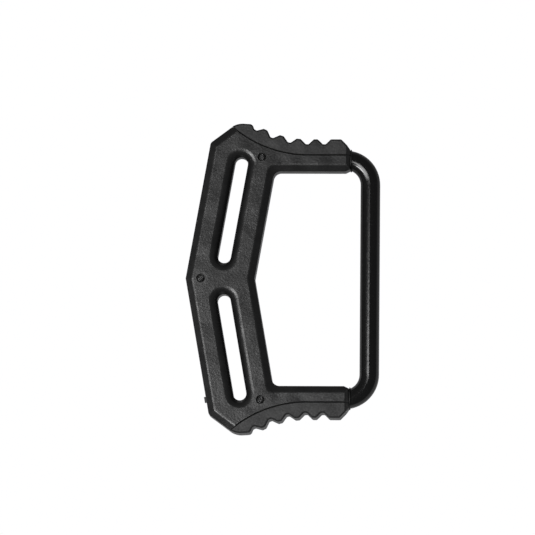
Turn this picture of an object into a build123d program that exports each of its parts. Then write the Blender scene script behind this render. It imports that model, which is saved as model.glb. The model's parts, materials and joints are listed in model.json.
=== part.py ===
from build123d import *
import os
from math import cos, radians, sin, tan

# Strap pull handle, in millimetres. The handle lies on its back face: +Z points out of the front face,
# +Y runs along the grip bar and +X points from the webbing slots to the grip bar. The origin is the
# centre of the bounding box, on the back face. Outline positions are given as (u, v): u is measured
# from the point of the chevron towards the grip bar and v from the handle's line of symmetry.

# Driving dimensions
OVERALL_WIDTH = 98.8
THICKNESS = 15.0
ROD_DIAMETER = 10.0
CHEVRON_ANGLE = 10.0
BAND_WIDTH = 35.2
OPENING_HALF_HEIGHT = 54.9
ARM_END = 83.6
SEAM_HEIGHT = 63.1
LEG_HEIGHT = 61.3

# Body outline
MID = THICKNESS / 2
CHEVRON_SLOPE = tan(radians(CHEVRON_ANGLE))
SHOULDER_HEIGHT = 69.6
DIAGONAL_ANGLE = 36.5
DIAGONAL_RUN = 25.0
POINT_RADIUS = 1.2
SHOULDER_RADIUS = 2.5
OPENING_CORNER_RADIUS = 4.0
ARM_TAPER_LENGTH = 2.5
ARM_TAPER_RISE = 1.2

# Chamfers of the shells; each is as wide as stated and falls by the same depth
CHAMFER_DEPTH = 2.0
OUTER_CHAMFER = 3.35
OPENING_CHAMFER = 3.25
ARM_END_CHAMFER = 1.8
CHAMFER_EASE = 0.18
EASE_STEPS = 3
CREST_RADIUS = 0.9
OPENING_CREST_RADIUS = 3.8

# Webbing slots
SLOT_WIDTH = 6.75
SLOT_LOW_CENTRE = 11.35
SLOT_HIGH_CENTRE = 58.85
SLOT_LIP_WIDTH = 4.2
SLOT_LIP_ANGLE = 55.0
SLOT_LIP_RADIUS = 4.0
SLOT_LIP_EXIT_ANGLE = 4.0

# Seam between shell and pad: straight along the arm, then an arc out to the shoulder
SEAM_RADIUS = 59.5
SEAM_TURN = 62.25
SEAM_SWEEP = 45.0
SEAM_GAP = 0.25
SEAM_BREAK = 0.3

# Pad teeth, as heights above the seam
TOOTH_TIP = 8.2
TOOTH_ROOT = 5.65
TOOTH_ANGLE = 9.85
TOOTH_PITCH = 8.7
TOOTH_SHIFT = 0.6
ARC_TEETH = 3
ARM_TEETH = 1
TIP_HALF_WIDTH = 1.0
ROOT_HALF_WIDTH = 0.7
TIP_RADIUS = 0.95
ROOT_RADIUS = 0.9
PAD_EDGE = 0.8
LOBE_HEIGHT = 79.45
LOBE_RADIUS = 10.0
LOBE_END_ANGLE = 33.3
LOBE_END_HEIGHT = 7.3
LOBE_END_RADIUS = 2.0
END_TOOTH_START = 73.7
END_TOOTH_STOP = 79.0
END_TOOTH_FACE = 66.1
END_TOOTH_CUT = 2.9

# Tongue on each pad that locks it into its shell
TONGUE_REACH = 1.2
TONGUE_START = 30.0
TONGUE_END = 78.0
TONGUE_BOTTOM = 13.2
TONGUE_TOP = 14.0
TONGUE_CLEARANCE = 0.1

# Bail
ROD_RADIUS = ROD_DIAMETER / 2
BAR_CENTRE = OVERALL_WIDTH - ROD_RADIUS
BEND_RADIUS = 12.75
LEG_END = 34.3
FLAT_LENGTH = 9.6
FLAT_HALF_THICKNESS = 3.0
LEG_END_CHAMFER = 0.8
CHANNEL_CLEARANCE = 0.05

# Fasteners: small-headed machine screws into brass inserts
OUTER_SCREW = (38.6, 62.1)
MIDDLE_SCREW = (7.8, 0.0)
SCREW_RADIUS = 1.0
SCREW_HOLE_RADIUS = 1.15
HEAD_RADIUS = 1.5
HEAD_HEIGHT = 1.4
HEAD_RECESS_RADIUS = 2.3
HEAD_SEAT = 12.8
HEAD_EDGE = 0.25
SLOT_CUT_WIDTH = 0.7
SLOT_CUT_DEPTH = 0.6
SLOT_CUT_ANGLES = {"upper": 90, "middle": 40, "lower": 68}
SCREW_END_CHAMFER = 0.35
OUTER_SCREW_LENGTH = 12.0
MIDDLE_SCREW_LENGTH = 10.0
INSERT_RADIUS = 1.75
INSERT_BORE_RADIUS = 1.01
SCREW_END_SPACE = 0.3

# Seal rings at the arm mouths
SEAL_SECTION_RADIUS = 0.3
SEAL_GAP = 0.05

# Features on the inside of the shells
POCKET_OFFSET = 10.5
POCKET_WIDTH = 9.0
POCKET_DEPTH = 4.5
POCKET_LENGTH = 18.0
POCKET_RADIUS = 1.5
POCKET_CENTRES = (23.0, 43.0)
PEG_RADIUS = 1.5
PEG_LENGTH = 3.0
PEG_CLEARANCE = 0.1
PEGS = ((26.0, 0.0), (20.0, 67.0), (20.0, -67.0))

# Moulding gate stub on the edge of the front shell
STUB_HEIGHT_ON_EDGE = -61.7
STUB_LENGTH = 3.0
STUB_PROUD = 1.0
STUB_THICKNESS = 1.8

# Reach of cutters past the material, and tolerances for finding edges
ABOVE = 5.0
ON_FACE = 0.01
ON_SEAM = 0.05
EDGE_PROBES = (0.3, 0.7)

UPPER, LOWER = 1, -1


def place(u, v, z=0.0):
    """Model position of an outline point."""
    return Vector(u - OVERALL_WIDTH / 2, v, z)


def rounded_face(points, radii):
    """Face with a corner at each point, rounded to the radius given for that corner."""
    corners = []
    for index, (point, radius) in enumerate(zip(points, radii)):
        corner = Vector(*point)
        if radius == 0:
            corners.append((corner, corner, corner))
            continue
        back = (Vector(*points[index - 1]) - corner).normalized()
        ahead = (Vector(*points[(index + 1) % len(points)]) - corner).normalized()
        half_angle = radians(back.get_angle(ahead) / 2)
        entry = corner + back * (radius / tan(half_angle))
        leave = corner + ahead * (radius / tan(half_angle))
        middle = corner + (back + ahead).normalized() * (radius / sin(half_angle) - radius)
        corners.append((entry, middle, leave))
    edges = []
    for index, (entry, middle, leave) in enumerate(corners):
        if (leave - entry).length > 1e-6:
            edges.append(Edge.make_three_point_arc(entry, middle, leave))
        edges.append(Edge.make_line(leave, corners[(index + 1) % len(corners)][0]))
    return Face(Wire(edges))


def inset_polygon(points, insets):
    """Corners of a clockwise polygon after each edge moves inwards by its own inset."""
    lines = []
    for index, inset in enumerate(insets):
        start = Vector(*points[index])
        along = (Vector(*points[(index + 1) % len(points)]) - start).normalized()
        lines.append((start + Vector(along.Y, -along.X) * inset, along))
    corners = []
    for index, (start, along) in enumerate(lines):
        before_start, before_along = lines[index - 1]
        gap = start - before_start
        cross = before_along.X * along.Y - before_along.Y * along.X
        reach = (gap.X * along.Y - gap.Y * along.X) / cross
        corner = before_start + before_along * reach
        corners.append((corner.X, corner.Y))
    return corners


def raised(face, height):
    """The same face, at another height."""
    return Pos(0, 0, height) * face


def prism(face, bottom, top):
    """Upright solid on a flat outline."""
    return extrude(raised(face, bottom), amount=top - bottom, dir=(0, 0, 1))


def chamfer_profile():
    """Steps up a shell's chamfer, as (height, share of its width), with a curve in place of each edge."""
    start = THICKNESS - CHAMFER_DEPTH
    foot = []
    crest = []
    for step in range(EASE_STEPS + 1):
        along = step / EASE_STEPS
        foot.append((start + CHAMFER_EASE * CHAMFER_DEPTH * (2 * along - 1), CHAMFER_EASE * along ** 2))
        crest_height = THICKNESS - CHAMFER_EASE * CHAMFER_DEPTH * (1 - along) ** 2
        crest.append((crest_height, 1 + CHAMFER_EASE * (2 * along - 1)))
    return foot + crest


def chamfered_prism(bottom_points, bottom_radii, top_points, top_radii, base):
    """Solid from the base to the front face, on a bottom outline that chamfers over to a top one."""
    layers = []
    for height, share in chamfer_profile():
        points = [
            (a[0] + (b[0] - a[0]) * share, a[1] + (b[1] - a[1]) * share)
            for a, b in zip(bottom_points, top_points)
        ]
        radii = [a + (b - a) * share for a, b in zip(bottom_radii, top_radii)]
        layers.append((height, rounded_face(points, radii)))
    solid = prism(layers[0][1], base, layers[0][0])
    for (low, low_face), (high, high_face) in zip(layers, layers[1:]):
        solid += loft([raised(low_face, low), raised(high_face, high)], ruled=True)
    return solid, layers[-1][1]


def cylinder(centre, radius, bottom, top):
    """Upright cylinder at an outline position."""
    return Pos(place(*centre, (bottom + top) / 2)) * Cylinder(radius, top - bottom)


def mirrored_outline(upper):
    """Clockwise outline from the points of its upper half; a first point on the axis is kept once."""
    lower = [(u, -v) for u, v in reversed(upper) if v > 0]
    return [(place(u, v).X, v) for u, v in upper + lower]


def to_back(solid):
    """Mirror a front piece to the back of the handle."""
    return mirror(solid, about=Plane.XY.offset(MID))


def to_lower(solid):
    """Mirror an upper piece to the lower arm."""
    return mirror(solid, about=Plane.XZ)


# ---- Outlines ----

def shoulder():
    """Corner where the chevron edge meets the diagonal edge."""
    return SHOULDER_HEIGHT * CHEVRON_SLOPE, SHOULDER_HEIGHT


def diagonal_point(height):
    """Point of the diagonal edge at a height."""
    u, v = shoulder()
    return u + (height - v) / tan(radians(DIAGONAL_ANGLE)), height


def seam_point(angle, height):
    """Point above the arc of the seam, at an angle round from the arm."""
    radius = SEAM_RADIUS - height
    centre_height = SEAM_HEIGHT + SEAM_RADIUS
    return SEAM_TURN - radius * sin(radians(angle)), centre_height - radius * cos(radians(angle))


def height_above_seam(u, v):
    """How far a point lies on the pad's side of the upper seam."""
    if u > SEAM_TURN:
        return v - SEAM_HEIGHT
    return SEAM_RADIUS - (Vector(u, v) - Vector(*seam_point(0, SEAM_RADIUS))).length


def outboard_of_seam(height=0.0):
    """Everything on the pad's side of the upper seam, or of a line parallel to it."""
    arc_start = place(*seam_point(SEAM_SWEEP, height))
    arc_middle = place(*seam_point(SEAM_SWEEP / 2, height))
    arc_end = place(*seam_point(0, height))
    past_arm = place(ARM_END + ABOVE, SEAM_HEIGHT + height)
    far_corner = place(ARM_END + ABOVE, SEAM_HEIGHT + SEAM_RADIUS)
    back_corner = Vector(arc_start.X, far_corner.Y)
    return Face(Wire([
        Edge.make_three_point_arc(arc_start, arc_middle, arc_end),
        Edge.make_line(arc_end, past_arm),
        Edge.make_line(past_arm, far_corner),
        Edge.make_line(far_corner, back_corner),
        Edge.make_line(back_corner, arc_start),
    ]))


def pad_face():
    """Outline of the upper pad: a lobe, teeth along the seam's arc and the arm, and a flat end tooth."""
    points = [(*diagonal_point(SHOULDER_HEIGHT), 0.0)]
    points.append((*diagonal_point(LOBE_HEIGHT), LOBE_RADIUS))
    points.append((*seam_point(LOBE_END_ANGLE, LOBE_END_HEIGHT), LOBE_END_RADIUS))
    root_half_angle = ROOT_HALF_WIDTH / radians(SEAM_RADIUS - TOOTH_ROOT)
    tip_half_angle = TIP_HALF_WIDTH / radians(SEAM_RADIUS - TOOTH_TIP)
    shift_angle = TOOTH_SHIFT / radians(SEAM_RADIUS - TOOTH_ROOT)
    for tooth in range(ARC_TEETH, 0, -1):
        root = tooth * TOOTH_ANGLE + shift_angle
        tip = root - TOOTH_ANGLE / 2
        points.append((*seam_point(root + root_half_angle, TOOTH_ROOT), ROOT_RADIUS))
        points.append((*seam_point(root - root_half_angle, TOOTH_ROOT), ROOT_RADIUS))
        points.append((*seam_point(tip + tip_half_angle, TOOTH_TIP), TIP_RADIUS))
        points.append((*seam_point(tip - tip_half_angle, TOOTH_TIP), TIP_RADIUS))
    tip_height = SEAM_HEIGHT + TOOTH_TIP
    root_height = SEAM_HEIGHT + TOOTH_ROOT
    for tooth in range(ARM_TEETH + 1):
        root = SEAM_TURN - TOOTH_SHIFT + tooth * TOOTH_PITCH
        tip = root + TOOTH_PITCH / 2
        points.append((root - ROOT_HALF_WIDTH, root_height, ROOT_RADIUS))
        points.append((root + ROOT_HALF_WIDTH, root_height, ROOT_RADIUS))
        if tooth < ARM_TEETH:
            points.append((tip - TIP_HALF_WIDTH, tip_height, TIP_RADIUS))
            points.append((tip + TIP_HALF_WIDTH, tip_height, TIP_RADIUS))
    points.append((END_TOOTH_START, tip_height, TIP_RADIUS))
    points.append((END_TOOTH_STOP, tip_height, TIP_RADIUS))
    points.append((END_TOOTH_STOP + END_TOOTH_CUT, tip_height - END_TOOTH_CUT, TIP_RADIUS))
    points.append((ARM_END, END_TOOTH_FACE, 0.0))
    points.append((ARM_END, SEAM_HEIGHT - ABOVE, 0.0))
    outline = rounded_face(
        [(place(u, v).X, v) for u, v, _ in points],
        [radius for _, _, radius in points],
    )
    return outline & outboard_of_seam(SEAM_GAP)


# ---- Cutters ----

def opening_cutter():
    """Hand opening of a front shell, with its chamfer; it runs out between the arms."""
    wall_start = BAND_WIDTH + OPENING_HALF_HEIGHT * CHEVRON_SLOPE
    taper_start = ARM_END - ARM_TAPER_LENGTH
    past_arm = ARM_END + ARM_TAPER_LENGTH
    slope = ARM_TAPER_RISE / ARM_TAPER_LENGTH
    wall = OPENING_HALF_HEIGHT
    bottom_points = mirrored_outline([
        (BAND_WIDTH, 0.0),
        (wall_start, wall),
        (taper_start, wall),
        (past_arm, wall + (past_arm - taper_start) * slope),
    ])
    flare = OPENING_CHAMFER
    tip = BAND_WIDTH - flare / cos(radians(CHEVRON_ANGLE))
    top_points = mirrored_outline([
        (tip, 0.0),
        (tip + (wall + flare) * CHEVRON_SLOPE, wall + flare),
        (taper_start, wall + flare),
        (past_arm, wall + flare),
    ])
    soft, crest = OPENING_CORNER_RADIUS, OPENING_CREST_RADIUS
    bottom_radii = [POINT_RADIUS, soft, 0, 0, 0, 0, soft]
    top_radii = [POINT_RADIUS, crest, 0, 0, 0, 0, crest]
    cutter, mouth = chamfered_prism(bottom_points, bottom_radii, top_points, top_radii, MID - ABOVE)
    return cutter + prism(mouth, THICKNESS, THICKNESS + ABOVE)


def slot_cutter(side):
    """Webbing slot of a front shell: a round-ended slot with a steep, round-edged lip."""
    half = SLOT_WIDTH / 2
    crest_height = THICKNESS - SLOT_LIP_RADIUS * cos(radians(SLOT_LIP_EXIT_ANGLE))
    crest_centre = half + SLOT_LIP_WIDTH + SLOT_LIP_RADIUS * sin(radians(SLOT_LIP_EXIT_ANGLE))

    def crest(angle):
        x = crest_centre - SLOT_LIP_RADIUS * sin(radians(angle))
        return Vector(x, 0, crest_height + SLOT_LIP_RADIUS * cos(radians(angle)))

    lip_end = crest(SLOT_LIP_EXIT_ANGLE)
    lip_middle = crest((SLOT_LIP_EXIT_ANGLE + SLOT_LIP_ANGLE) / 2)
    lip_start = crest(SLOT_LIP_ANGLE)
    wall_top = lip_start.Z - (lip_start.X - half) * tan(radians(SLOT_LIP_ANGLE))
    wall = [Vector(0, 0, MID - ABOVE), Vector(half, 0, MID - ABOVE), Vector(half, 0, wall_top), lip_start]
    cap = [lip_end, Vector(lip_end.X, 0, THICKNESS + ABOVE), Vector(0, 0, THICKNESS + ABOVE)]
    edges = [Edge.make_line(a, b) for a, b in zip(wall, wall[1:])]
    edges.append(Edge.make_three_point_arc(lip_start, lip_middle, lip_end))
    edges += [Edge.make_line(a, b) for a, b in zip(cap, cap[1:] + wall[:1])]
    profile = Face(Wire(edges))
    round_end = revolve(profile, Axis.Z, 360)

    low = place(BAND_WIDTH / 2 + SLOT_LOW_CENTRE * CHEVRON_SLOPE, side * SLOT_LOW_CENTRE)
    high = place(BAND_WIDTH / 2 + SLOT_HIGH_CENTRE * CHEVRON_SLOPE, side * SLOT_HIGH_CENTRE)
    length = (high - low).length
    full_profile = profile + mirror(profile, about=Plane.YZ)
    straight = extrude(full_profile, amount=length, dir=(0, 1, 0))
    cutter = round_end + Pos(0, length, 0) * round_end + straight
    turn = -CHEVRON_ANGLE if side == UPPER else CHEVRON_ANGLE - 180
    return Pos(low) * Rot(0, 0, turn) * cutter


def arm_end_cutter():
    """Wedge that chamfers the front of both arm ends."""
    edge_x = place(ARM_END, 0).X
    slope = [Vector(edge_x - ARM_END_CHAMFER * share, 0, height) for height, share in chamfer_profile()]
    outside = [Vector(edge_x + ABOVE, 0, THICKNESS + ABOVE), Vector(edge_x + ABOVE, 0, slope[0].Z)]
    crest = Vector(slope[-1].X, 0, THICKNESS + ABOVE)
    wedge = Face(Wire.make_polygon(slope + [crest] + outside))
    return extrude(wedge, amount=OVERALL_WIDTH, dir=(0, 1, 0), both=True)


def rod_end(clearance):
    """Flat-sided end of the leg, as the rod or, with clearance, as its channel."""
    length = FLAT_LENGTH + clearance
    centre = place(LEG_END + FLAT_LENGTH - length / 2, LEG_HEIGHT, MID)
    round_end = Pos(centre) * Rot(0, 90, 0) * Cylinder(ROD_RADIUS + clearance, length)
    slab = Pos(centre) * Box(length, 2 * ROD_DIAMETER, 2 * (FLAT_HALF_THICKNESS + clearance))
    return round_end & slab


def rod_run(clearance):
    """Round rod from the leg's flat end round the bend to the middle of the grip bar."""
    bend_start = BAR_CENTRE - BEND_RADIUS
    bar_half = LEG_HEIGHT - BEND_RADIUS
    half_turn = BEND_RADIUS * sin(radians(45))
    leg_start = place(LEG_END + FLAT_LENGTH, LEG_HEIGHT, MID)
    bend_in = place(bend_start, LEG_HEIGHT, MID)
    bend_middle = place(bend_start + half_turn, bar_half + half_turn, MID)
    bend_out = place(BAR_CENTRE, bar_half, MID)
    path = Wire([
        Edge.make_line(leg_start, bend_in),
        Edge.make_three_point_arc(bend_in, bend_middle, bend_out),
        Edge.make_line(bend_out, place(BAR_CENTRE, 0, MID)),
    ])
    section = Plane(origin=path @ 0, z_dir=path % 0) * Circle(ROD_RADIUS + clearance)
    return sweep(section, path=path)


def leg_channel():
    """Space for the leg and the start of its bend."""
    return rod_end(CHANNEL_CLEARANCE) + rod_run(CHANNEL_CLEARANCE)


def core_pockets(side):
    """Cored-out pockets on the inside of a front shell, in the strips beside one slot."""
    pockets = []
    for strip in (-1, 1):
        for height in POCKET_CENTRES:
            u = BAND_WIDTH / 2 + height * CHEVRON_SLOPE + strip * POCKET_OFFSET
            pocket = RectangleRounded(POCKET_WIDTH, POCKET_LENGTH, POCKET_RADIUS)
            pocket = Pos(place(u, side * height)) * Rot(0, 0, -side * CHEVRON_ANGLE) * pocket
            pockets.append(prism(pocket, MID, MID + POCKET_DEPTH))
    return pockets


def seam_breaks(solid):
    """Edges of a front piece that run along the seams, on the front face."""
    edges = []
    for edge in solid.edges().filter_by_position(Axis.Z, THICKNESS - ON_FACE, THICKNESS + ON_FACE):
        for share in EDGE_PROBES:
            probe = edge @ share
            height = height_above_seam(probe.X + OVERALL_WIDTH / 2, abs(probe.Y))
            if not -ON_SEAM < height < SEAM_GAP + ON_SEAM:
                break
        else:
            edges.append(edge)
    return edges


def tooth_edges(pad):
    """Front edges of an upper pad's toothed outline, lobe and end tooth."""
    edges = []
    for edge in pad.edges().filter_by_position(Axis.Z, THICKNESS - ON_FACE, THICKNESS + ON_FACE):
        middle = edge @ 0.5
        u = middle.X + OVERALL_WIDTH / 2
        if height_above_seam(u, middle.Y) > 2 * SEAM_GAP and u < ARM_END - ON_FACE:
            edges.append(edge)
    return edges


# ---- Pieces ----

def front_half_shell():
    """What both shells share, modelled as the front one."""
    outline = mirrored_outline([
        (0.0, 0.0),
        shoulder(),
        diagonal_point(SHOULDER_HEIGHT + DIAGONAL_RUN),
        (ARM_END, SHOULDER_HEIGHT + DIAGONAL_RUN),
    ])
    edge_insets = [OUTER_CHAMFER, OUTER_CHAMFER, 0, 0, 0, OUTER_CHAMFER, OUTER_CHAMFER]
    bottom_radii = [POINT_RADIUS, SHOULDER_RADIUS, 0, 0, 0, 0, SHOULDER_RADIUS]
    top_radii = [POINT_RADIUS, CREST_RADIUS, 0, 0, 0, 0, CREST_RADIUS]
    top_outline = inset_polygon(outline, edge_insets)
    shell, _ = chamfered_prism(outline, bottom_radii, top_outline, top_radii, MID)
    shell -= opening_cutter()
    shell -= arm_end_cutter()
    for side, to_side in ((UPPER, lambda solid: solid), (LOWER, to_lower)):
        shell -= slot_cutter(side)
        shell -= to_side(prism(outboard_of_seam(), MID - ABOVE, THICKNESS + ABOVE))
        shell -= to_side(leg_channel())
        shell -= to_side(tongue(TONGUE_CLEARANCE))
        for pocket in core_pockets(side):
            shell -= pocket
    return chamfer(seam_breaks(shell), SEAM_BREAK)


def screw_places():
    """Each screw's name, outline position and length."""
    u, v = OUTER_SCREW
    return [
        ("upper", OUTER_SCREW, OUTER_SCREW_LENGTH),
        ("middle", MIDDLE_SCREW, MIDDLE_SCREW_LENGTH),
        ("lower", (u, -v), OUTER_SCREW_LENGTH),
    ]


def insert_top(length):
    """Inserts stand level with the surface that the screw arrives through."""
    return MID - FLAT_HALF_THICKNESS - CHANNEL_CLEARANCE if length == OUTER_SCREW_LENGTH else MID


def front_shell():
    """Shared shell with recessed screw holes, peg sockets and the gate stub."""
    shell = front_half_shell()
    for _, centre, _ in screw_places():
        shell -= cylinder(centre, SCREW_HOLE_RADIUS, MID - ABOVE, THICKNESS)
        shell -= cylinder(centre, HEAD_RECESS_RADIUS, HEAD_SEAT, THICKNESS + ABOVE)
    for centre in PEGS:
        shell -= cylinder(centre, PEG_RADIUS + PEG_CLEARANCE, MID - ABOVE, MID + PEG_LENGTH + PEG_CLEARANCE)
    stub = Box(2 * STUB_PROUD, STUB_LENGTH, STUB_THICKNESS)
    stub_u = abs(STUB_HEIGHT_ON_EDGE) * CHEVRON_SLOPE
    stub_place = place(stub_u, STUB_HEIGHT_ON_EDGE, MID + STUB_THICKNESS / 2)
    return shell + Pos(stub_place) * Rot(0, 0, CHEVRON_ANGLE) * stub


def back_shell():
    """Mirrored shared shell with blind insert holes and alignment pegs."""
    shell = to_back(front_half_shell())
    for _, centre, length in screw_places():
        hole_bottom = HEAD_SEAT - length - SCREW_END_SPACE
        shell -= cylinder(centre, INSERT_RADIUS, hole_bottom, MID + ABOVE)
    for centre in PEGS:
        shell += cylinder(centre, PEG_RADIUS, MID - PEG_LENGTH, MID + PEG_LENGTH)
    return shell


def bail():
    """Bent round rod: a grip bar between two bends and two flat-ended, cross-drilled legs."""
    end = rod_end(0.0)
    end = chamfer(end.faces().sort_by(Axis.X)[0].edges(), LEG_END_CHAMFER)
    end -= cylinder(OUTER_SCREW, SCREW_HOLE_RADIUS, 0, THICKNESS)
    upper_half = end + rod_run(0.0)
    return upper_half + to_lower(upper_half)


def tongue(clearance=0.0):
    """Tongue along the upper pad's seam, or with clearance the groove that takes it."""
    inner_edge = outboard_of_seam(-TONGUE_REACH - clearance)
    length = TONGUE_END - TONGUE_START + 2 * clearance
    span = Pos(place((TONGUE_START + TONGUE_END) / 2, SEAM_HEIGHT)) * Rectangle(length, 2 * SEAM_RADIUS)
    band = (inner_edge - outboard_of_seam(SEAM_GAP)) & span
    return prism(band, TONGUE_BOTTOM - clearance, TONGUE_TOP + clearance)


def upper_front_pad():
    """Toothed grip pad, with a groove for the leg and a tongue into the shell."""
    pad = prism(pad_face(), MID, THICKNESS)
    pad = chamfer(tooth_edges(pad), PAD_EDGE)
    pad -= arm_end_cutter()
    pad -= leg_channel()
    pad = chamfer(seam_breaks(pad), SEAM_BREAK)
    return pad + tongue()


def screw(centre, length, slot_angle):
    """Slotted cheese-head machine screw, seated in the front shell."""
    head = cylinder(centre, HEAD_RADIUS, HEAD_SEAT, HEAD_SEAT + HEAD_HEIGHT)
    head = fillet(head.faces().sort_by(Axis.Z)[-1].edges(), HEAD_EDGE)
    slot = Box(4 * HEAD_RADIUS, SLOT_CUT_WIDTH, 2 * SLOT_CUT_DEPTH)
    head -= Pos(place(*centre, HEAD_SEAT + HEAD_HEIGHT)) * Rot(0, 0, slot_angle) * slot
    shank = cylinder(centre, SCREW_RADIUS, HEAD_SEAT - length, HEAD_SEAT)
    shank = chamfer(shank.faces().sort_by(Axis.Z)[0].edges(), SCREW_END_CHAMFER)
    return head + shank


def insert(centre, length):
    """Brass insert in the back shell."""
    bottom = HEAD_SEAT - length - SCREW_END_SPACE
    sleeve = cylinder(centre, INSERT_RADIUS, bottom, insert_top(length))
    return sleeve - cylinder(centre, INSERT_BORE_RADIUS, bottom, MID)


def upper_mouth_seal():
    """Rubber ring round the rod where it leaves the arm."""
    bend_centre_height = LEG_HEIGHT - BEND_RADIUS
    ring_u = ARM_END + SEAL_SECTION_RADIUS + SEAL_GAP
    run = ring_u - (BAR_CENTRE - BEND_RADIUS)
    rod_outside = bend_centre_height + ((BEND_RADIUS + ROD_RADIUS) ** 2 - run ** 2) ** 0.5
    rod_inside = bend_centre_height + ((BEND_RADIUS - ROD_RADIUS) ** 2 - run ** 2) ** 0.5
    ring_radius = (rod_outside - rod_inside) / 2 + SEAL_SECTION_RADIUS + SEAL_GAP
    ring = Torus(ring_radius, SEAL_SECTION_RADIUS)
    return Pos(place(ring_u, (rod_outside + rod_inside) / 2, MID)) * Rot(0, 90, 0) * ring


def pieces():
    """Every node of the handle, by name."""
    nodes = {"front_shell": front_shell(), "back_shell": back_shell(), "bail": bail()}
    pad = upper_front_pad()
    nodes["upper_front_pad"] = pad
    nodes["upper_back_pad"] = to_back(pad)
    nodes["lower_front_pad"] = to_lower(pad)
    nodes["lower_back_pad"] = to_back(to_lower(pad))
    for name, centre, length in screw_places():
        nodes[f"{name}_screw"] = screw(centre, length, SLOT_CUT_ANGLES[name])
        nodes[f"{name}_insert"] = insert(centre, length)
    seal = upper_mouth_seal()
    nodes["upper_mouth_seal"] = seal
    nodes["lower_mouth_seal"] = to_lower(seal)
    return nodes


os.makedirs("parts", exist_ok=True)
for node, shape in pieces().items():
    export_step(shape, f"parts/{node}.step")
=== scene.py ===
"""Looks, light and camera for the strap pull handle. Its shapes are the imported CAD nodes, left as they are.

Lengths are in metres in the CAD frame: the back of the handle lies in the plane z = 0, its front face
points along +Z and its grip bar runs along +Y. Texture sizes are the real sizes of the grain, in metres.
"""

import json
import math

import bpy
from mathutils import Matrix, Vector


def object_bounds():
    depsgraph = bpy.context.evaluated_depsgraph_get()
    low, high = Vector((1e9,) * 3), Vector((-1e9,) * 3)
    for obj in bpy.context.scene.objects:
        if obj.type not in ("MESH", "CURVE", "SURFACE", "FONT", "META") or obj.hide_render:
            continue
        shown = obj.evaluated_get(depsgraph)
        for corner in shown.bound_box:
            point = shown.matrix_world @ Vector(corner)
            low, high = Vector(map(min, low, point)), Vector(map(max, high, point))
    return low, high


MM = 0.001

# The camera hangs six metres over the handle, a little below and to the right of its middle.
CAMERA_DISTANCE = 6.0
CAMERA_PITCH = math.radians(5.8)
CAMERA_YAW = math.radians(2.5)
CAMERA_ROLL = math.radians(0.4)
SENSOR_WIDTH = 36.0

# The picture is this many handle heights wide. The camera aims past the middle of the handle,
# to the left by a share of its width and up by a share of its height.
PICTURE_WIDTH = 1.7214
AIM_LEFT = 0.0794
AIM_UP = 0.0391

# Lights: places in metres, (width, height) of each softbox, and brightness relative to the white backdrop
STRIP_PLACE = (-0.50, -0.16, 1.2)
STRIP_SIZE = (0.40, 0.72)
STRIP_RADIANCE = 8.9
KEY_PLACE = (-0.72, -0.53, 1.25)
KEY_SIZE = (0.50, 0.17)
KEY_RADIANCE = 28.0
ROOM_RADIANCE = 0.12

# The floor lights the handle less past its top end (+Y) than past its bottom end (-Y).
BOUNCE_AT_BOTTOM = 0.62
BOUNCE_AT_TOP = 0.18
BOUNCE_REACH = 120 * MM

# Nearly all values of a noise texture lie in this part of its 0 to 1 range.
NOISE_LOW = 0.3
NOISE_HIGH = 0.7

# Relief and shading of the moulded pieces
FINE_GRAIN_DEPTH = 0.02 * MM
COARSE_GRAIN_DEPTH = 0.08 * MM
SINK_DEPTH = 0.5 * MM
SEAM_REACH = 1.2 * MM
REFRACTIVE_INDEX = 1.5
# Near black of the painted shade in the plastic's gaps, and the base colour of the steel's coat
GAP_SHADE_AND_COAT_BLACK = 0.004
DARK_GREY = 0.009
LIGHT_GREY = 0.013
# Grey of rubbed edges, which also serves as a painted highlight along the plastic's crests
RUBBED_HIGHLIGHT_GREY = 0.06
DULL_BRASS = (0.62, 0.42, 0.16, 1.0)
BRIGHT_BRASS = (0.78, 0.56, 0.26, 1.0)

# Ends of the ramps that turn shader readings into rubbed, highlit edges and into painted shade in gaps
FLAT_LIKENESS = 0.995
SHARP_LIKENESS = 0.9
CLOSED_SHARE = 0.25
OPEN_SHARE = 0.75

# The floor lies just out of the seam shading's reach, so that the back face doesn't count as a gap.
FLOOR_SIZE = 8.0
FLOOR_DROP = SEAM_REACH + 0.3 * MM


# Node helpers


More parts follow.
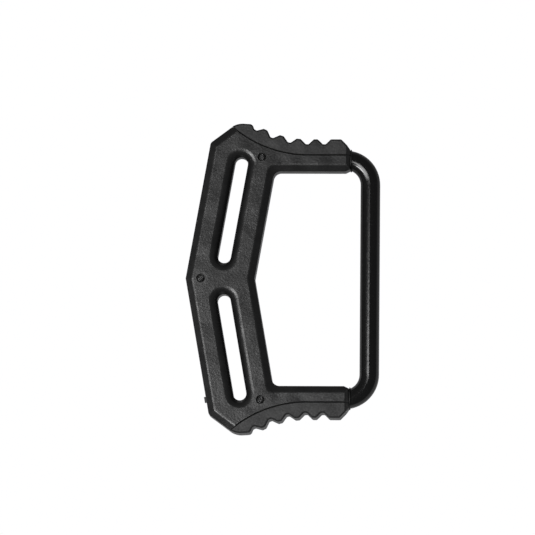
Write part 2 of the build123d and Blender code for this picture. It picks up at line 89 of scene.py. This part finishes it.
class Nodes:
    """Builds one node tree: each call adds a node and returns its first output."""

    def __init__(self, tree):
        self.tree = tree
        tree.nodes.clear()

    def add(self, kind, inputs=None, output=0, **settings):
        node = self.tree.nodes.new(kind)
        for name, value in settings.items():
            setattr(node, name, value)
        for name, value in (inputs or {}).items():
            self.feed(node.inputs[name], value)
        return node.outputs[output] if node.outputs else node

    def feed(self, socket, value):
        """Links a node's output to the socket, or sets the socket to a plain value."""
        if isinstance(value, bpy.types.NodeSocket):
            self.tree.links.new(value, socket)
        else:
            socket.default_value = value

    def place(self):
        """Position on the surface, in metres in the CAD frame."""
        return self.add("ShaderNodeTexCoord", output="Object")

    def noise(self, size, detail=2.0, roughness=0.5):
        """Cloudy noise from 0 to 1 whose features are about `size` metres across."""
        inputs = {"Vector": self.place(), "Scale": 1 / size, "Detail": detail, "Roughness": roughness}
        return self.add("ShaderNodeTexNoise", inputs)

    def cells(self, size):
        """Distance to the nearest of scattered points about `size` metres apart."""
        inputs = {"Vector": self.place(), "Scale": 1 / size}
        return self.add("ShaderNodeTexVoronoi", inputs, feature="SMOOTH_F1")

    def math(self, operation, a, b):
        return self.add("ShaderNodeMath", {0: a, 1: b}, operation=operation)

    def ramp(self, value, low, high, to_low=0.0, to_high=1.0):
        """Maps low..high to to_low..to_high, clamped."""
        limits = {"From Min": low, "From Max": high, "To Min": to_low, "To Max": to_high}
        return self.add("ShaderNodeMapRange", {"Value": value, **limits})

    def spread(self, noise, to_low=0.0, to_high=1.0):
        """Stretches the middle of a noise texture's range over to_low..to_high."""
        return self.ramp(noise, NOISE_LOW, NOISE_HIGH, to_low, to_high)

    def mix_colour(self, share, first, second):
        """The first colour where share is 0, and the second where it is 1."""
        node = self.tree.nodes.new("ShaderNodeMix")
        node.data_type = "RGBA"
        enabled = {socket.name: socket for socket in node.inputs if socket.enabled}
        for name, value in {"Factor": share, "A": first, "B": second}.items():
            self.feed(enabled[name], value)
        return [socket for socket in node.outputs if socket.enabled][0]

    def bump(self, height, depth, strength=1.0, normal=None):
        """Normal of a surface whose relief is `depth` metres deep."""
        inputs = {"Height": height, "Distance": depth, "Strength": strength}
        if normal is not None:
            inputs["Normal"] = normal
        return self.add("ShaderNodeBump", inputs)

    def sharp_edge_share(self, radius):
        """1 on sharp edges, falling to 0 over `radius` metres."""
        rounded = self.add("ShaderNodeBevel", {"Radius": radius}, samples=6)
        true = self.add("ShaderNodeNewGeometry", output="Normal")
        likeness = self.add("ShaderNodeVectorMath", {0: rounded, 1: true}, "Value", operation="DOT_PRODUCT")
        return self.ramp(likeness, FLAT_LIKENESS, SHARP_LIKENESS)

    def unshaded_share(self, reach):
        """1 on open surfaces, falling to 0 in gaps narrower than `reach` metres, where shade is painted."""
        clear = self.add("ShaderNodeAmbientOcclusion", {"Distance": reach}, output="AO", samples=8)
        return self.ramp(clear, CLOSED_SHARE, OPEN_SHARE)


def grey(value):
    """Very slightly bluish grey."""
    return (value, value, value * 1.01, 1.0)


def new_material(name):
    material = bpy.data.materials.new(name)
    material.use_nodes = True
    return material, Nodes(material.node_tree)


def finish_surface(nodes, **inputs):
    """Ends a material with one surface shader, whose inputs are named with _ for each space."""
    named = {key.replace("_", " "): value for key, value in inputs.items()}
    surface = nodes.add("ShaderNodeBsdfPrincipled", named)
    nodes.add("ShaderNodeOutputMaterial", {"Surface": surface})


# Materials


def moulded_relief(nodes, fine, fine_strength, coarse_size, sink_size):
    """Fine grain on coarse grain, on the shallow sinks that a thick moulding has."""
    sinks = nodes.bump(nodes.noise(sink_size, 1.0), SINK_DEPTH)
    coarse = nodes.bump(nodes.noise(coarse_size, 3.0, 0.6), COARSE_GRAIN_DEPTH, 1.0, sinks)
    return nodes.bump(fine, FINE_GRAIN_DEPTH, fine_strength, coarse)


def cloudy_black(nodes, clouds):
    """Black that is a little lighter in soft patches."""
    return nodes.mix_colour(nodes.spread(clouds), grey(DARK_GREY), grey(LIGHT_GREY))


def patchy_and_gap_shaded_shine(nodes, unshaded_share):
    """Reflection that varies from grain to grain and is dimmed in narrow gaps as painted shade."""
    return nodes.math("MULTIPLY", unshaded_share, nodes.spread(nodes.noise(0.8 * MM), 0.40, 0.62))


def moulded_plastic():
    """Black glass-filled nylon with a fine spark-eroded grain, rubbed lighter on its edges, which also paints
    a highlight along them, and darkened by painted shade in seams and narrow gaps.
    """
    material, nodes = new_material("moulded_plastic")
    # Painted shade: the occlusion reading turns the colour near black and dims the reflection in seams and
    # narrow gaps.
    unshaded_share = nodes.unshaded_share(SEAM_REACH)
    clouds = nodes.noise(6 * MM, 3.0)
    fine = nodes.math("ADD", nodes.noise(0.35 * MM, 3.0, 0.6), nodes.cells(0.5 * MM))
    base = cloudy_black(nodes, clouds)
    # Rubbed edges: a lighter grey on sharp edges, partly real wear and partly a painted highlight along the
    # crests.
    wear_and_highlight = nodes.math("MULTIPLY", nodes.sharp_edge_share(0.5 * MM), nodes.spread(nodes.noise(3 * MM), 0.4, 1.0))
    rubbed_and_highlit = nodes.mix_colour(wear_and_highlight, base, grey(RUBBED_HIGHLIGHT_GREY))
    finish_surface(
        nodes,
        # Painted shade in gaps, laid over the rubbed and highlit colour
        Base_Color=nodes.mix_colour(unshaded_share, grey(GAP_SHADE_AND_COAT_BLACK), rubbed_and_highlit),
        Roughness=nodes.spread(clouds, 0.28, 0.36),
        IOR=REFRACTIVE_INDEX,
        Specular_IOR_Level=patchy_and_gap_shaded_shine(nodes, unshaded_share),
        Normal=moulded_relief(nodes, fine, fine_strength=0.6, coarse_size=1.1 * MM, sink_size=14 * MM),
    )
    return material


def moulded_rubber():
    """Matte black grip rubber, with a softer and finer grain than the shells."""
    material, nodes = new_material("moulded_rubber")
    # Painted shade: the occlusion reading dims the reflection in seams and narrow gaps.
    unshaded_share = nodes.unshaded_share(SEAM_REACH)
    clouds = nodes.noise(4 * MM, 3.0)
    fine = nodes.noise(0.3 * MM, 4.0, 0.65)
    finish_surface(
        nodes,
        Base_Color=cloudy_black(nodes, clouds),
        Roughness=nodes.spread(clouds, 0.40, 0.48),
        IOR=REFRACTIVE_INDEX,
        Specular_IOR_Level=patchy_and_gap_shaded_shine(nodes, unshaded_share),
        Normal=moulded_relief(nodes, fine, fine_strength=0.5, coarse_size=0.9 * MM, sink_size=12 * MM),
    )
    return material


def coated_steel():
    """Glossy black coat on steel, with slight orange peel and dust specks under the gloss."""
    material, nodes = new_material("coated_steel")
    peel = nodes.noise(1.6 * MM, 2.0, 0.4)
    specks = nodes.ramp(nodes.noise(0.5 * MM, 1.0), 0.62, 0.75)
    finish_surface(
        nodes,
        Base_Color=nodes.mix_colour(nodes.math("MULTIPLY", specks, 0.4), grey(GAP_SHADE_AND_COAT_BLACK), grey(0.03)),
        Roughness=nodes.ramp(specks, 0.0, 1.0, 0.16, 0.3),
        IOR=REFRACTIVE_INDEX,
        Normal=nodes.bump(peel, 0.05 * MM, 0.35),
    )
    return material


def black_oxide_steel():
    """Screws: black oxide over turned steel, bare on the sharpest edges."""
    material, nodes = new_material("black_oxide_steel")
    marks = nodes.noise(0.25 * MM)
    finish_surface(
        nodes,
        Base_Color=nodes.mix_colour(nodes.sharp_edge_share(0.15 * MM), grey(0.006), grey(0.5)),
        Metallic=0.6,
        Roughness=nodes.spread(marks, 0.3, 0.45),
        Normal=nodes.bump(marks, 0.01 * MM, 0.5),
    )
    return material


def turned_brass():
    """Threaded inserts, bright from the lathe."""
    material, nodes = new_material("turned_brass")
    marks = nodes.noise(0.2 * MM)
    finish_surface(
        nodes,
        Base_Color=nodes.mix_colour(nodes.spread(marks), DULL_BRASS, BRIGHT_BRASS),
        Metallic=1.0,
        Roughness=nodes.spread(marks, 0.22, 0.38),
        Normal=nodes.bump(marks, 0.01 * MM, 0.4),
    )
    return material


def seal_rubber():
    """Smooth black rubber of the mouth seals, with a dusty bloom."""
    material, nodes = new_material("seal_rubber")
    bloom = nodes.noise(1.2 * MM, 3.0)
    finish_surface(
        nodes,
        Base_Color=nodes.mix_colour(nodes.ramp(bloom, 0.4, 0.75), grey(0.008), grey(0.02)),
        Roughness=nodes.spread(bloom, 0.45, 0.6),
        Normal=nodes.bump(nodes.noise(0.3 * MM), 0.01 * MM, 0.4),
    )
    return material


MATERIAL_OF_SLOT = {
    "shell_plastic": moulded_plastic,
    "pad_rubber": moulded_rubber,
    "coated_steel": coated_steel,
    "black_screw_steel": black_oxide_steel,
    "insert_brass": turned_brass,
    "seal_rubber": seal_rubber,
}


def dress_nodes(frame):
    """Gives each CAD node the material of its slot in the record."""
    made = {slot: make() for slot, make in MATERIAL_OF_SLOT.items()}
    for part in frame["record"]["subparts"]:
        mesh = frame["nodes"][part["node"]].data
        mesh.materials.clear()
        mesh.materials.append(made[part["material_slot"]])


# Studio


def light_table():
    """White for the camera, a dimmer glow for whatever it lights, and clear when seen from below."""
    material, nodes = new_material("light_table")
    along = nodes.add("ShaderNodeSeparateXYZ", {"Vector": nodes.place()}, output="Y")
    strength = nodes.ramp(along, -BOUNCE_REACH, BOUNCE_REACH, BOUNCE_AT_BOTTOM, BOUNCE_AT_TOP)
    white = nodes.add("ShaderNodeEmission", {"Color": grey(1.0), "Strength": 1.0})
    bounce = nodes.add("ShaderNodeEmission", {"Color": grey(1.0), "Strength": strength})
    to_camera = nodes.add("ShaderNodeLightPath", output="Is Camera Ray")
    front = nodes.add("ShaderNodeMixShader", {0: to_camera, 1: bounce, 2: white})
    behind = nodes.add("ShaderNodeNewGeometry", output="Backfacing")
    clear = nodes.add("ShaderNodeBsdfTransparent")
    surface = nodes.add("ShaderNodeMixShader", {0: behind, 1: front, 2: clear})
    nodes.add("ShaderNodeOutputMaterial", {"Surface": surface})
    return material


def pale_floor():
    """A plain square floor under the handle."""
    mesh = bpy.data.meshes.new("floor")
    half = FLOOR_SIZE / 2
    corners = [(x, y, -FLOOR_DROP) for x, y in ((-half, -half), (half, -half), (half, half), (-half, half))]
    mesh.from_pydata(corners, [], [(0, 1, 2, 3)])
    mesh.materials.append(light_table())
    floor = bpy.data.objects.new("floor", mesh)
    bpy.context.scene.collection.objects.link(floor)


def softbox(name, place, size, radiance):
    """A rectangular light of (width, height) that faces the origin and is hidden from the camera."""
    lamp = bpy.data.lights.new(name, "AREA")
    lamp.shape = "RECTANGLE"
    lamp.size, lamp.size_y = size
    lamp.energy = radiance * math.pi * size[0] * size[1]
    box = bpy.data.objects.new(name, lamp)
    turn = Vector(place).to_track_quat("Z", "Y").to_matrix().to_4x4()
    box.matrix_world = Matrix.Translation(place) @ turn
    box.visible_camera = False
    bpy.context.scene.collection.objects.link(box)


def dim_room():
    """Faint light from all round, and a white backdrop for the camera alone."""
    world = bpy.data.worlds.new("room")
    world.use_nodes = True
    nodes = Nodes(world.node_tree)
    room = nodes.add("ShaderNodeBackground", {"Color": grey(1.0), "Strength": ROOM_RADIANCE})
    backdrop = nodes.add("ShaderNodeBackground", {"Color": grey(1.0), "Strength": 1.0})
    to_camera = nodes.add("ShaderNodeLightPath", output="Is Camera Ray")
    surface = nodes.add("ShaderNodeMixShader", {0: to_camera, 1: room, 2: backdrop})
    nodes.add("ShaderNodeOutputWorld", {"Surface": surface})
    bpy.context.scene.world = world


def studio_light():
    """A broad softbox on the left, a bright narrow one at the lower left, and a dim room."""
    softbox("strip", STRIP_PLACE, STRIP_SIZE, STRIP_RADIANCE)
    softbox("key", KEY_PLACE, KEY_SIZE, KEY_RADIANCE)
    dim_room()


def camera_over(low, high):
    """A long-lens camera over the middle of the handle, aimed a little up and to the left of it."""
    middle = (low + high) / 2
    size = high - low
    away = Vector(
        (
            math.sin(CAMERA_YAW),
            -math.sin(CAMERA_PITCH) * math.cos(CAMERA_YAW),
            math.cos(CAMERA_PITCH) * math.cos(CAMERA_YAW),
        )
    )
    across = Vector((0, 1, 0)).cross(away).normalized()
    upwards = away.cross(across)
    right = across * math.cos(CAMERA_ROLL) + upwards * math.sin(CAMERA_ROLL)
    up = upwards * math.cos(CAMERA_ROLL) - across * math.sin(CAMERA_ROLL)
    place = middle + away * CAMERA_DISTANCE
    target = middle - right * AIM_LEFT * size.x + up * AIM_UP * size.y
    back = (place - target).normalized()
    right = up.cross(back).normalized()
    up = back.cross(right)

    lens = bpy.data.cameras.new("camera")
    lens.sensor_width = SENSOR_WIDTH
    lens.lens = SENSOR_WIDTH * CAMERA_DISTANCE / (PICTURE_WIDTH * size.y)
    lens.clip_end = 4 * CAMERA_DISTANCE
    camera = bpy.data.objects.new("camera", lens)
    camera.matrix_world = Matrix.Translation(place) @ Matrix((right, up, back)).transposed().to_4x4()
    bpy.context.scene.collection.objects.link(camera)
    bpy.context.scene.camera = camera


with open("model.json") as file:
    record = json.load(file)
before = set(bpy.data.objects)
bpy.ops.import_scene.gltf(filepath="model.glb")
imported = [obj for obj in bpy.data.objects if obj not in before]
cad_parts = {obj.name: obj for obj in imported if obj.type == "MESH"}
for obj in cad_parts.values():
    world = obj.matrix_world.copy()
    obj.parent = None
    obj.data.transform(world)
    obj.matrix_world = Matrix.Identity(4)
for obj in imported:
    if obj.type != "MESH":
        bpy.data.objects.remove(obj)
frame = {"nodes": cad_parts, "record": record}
cad_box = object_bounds()
dress_nodes(frame)
pale_floor()
studio_light()
camera_over(*cad_box)
bpy.context.scene.view_settings.view_transform = "Standard"
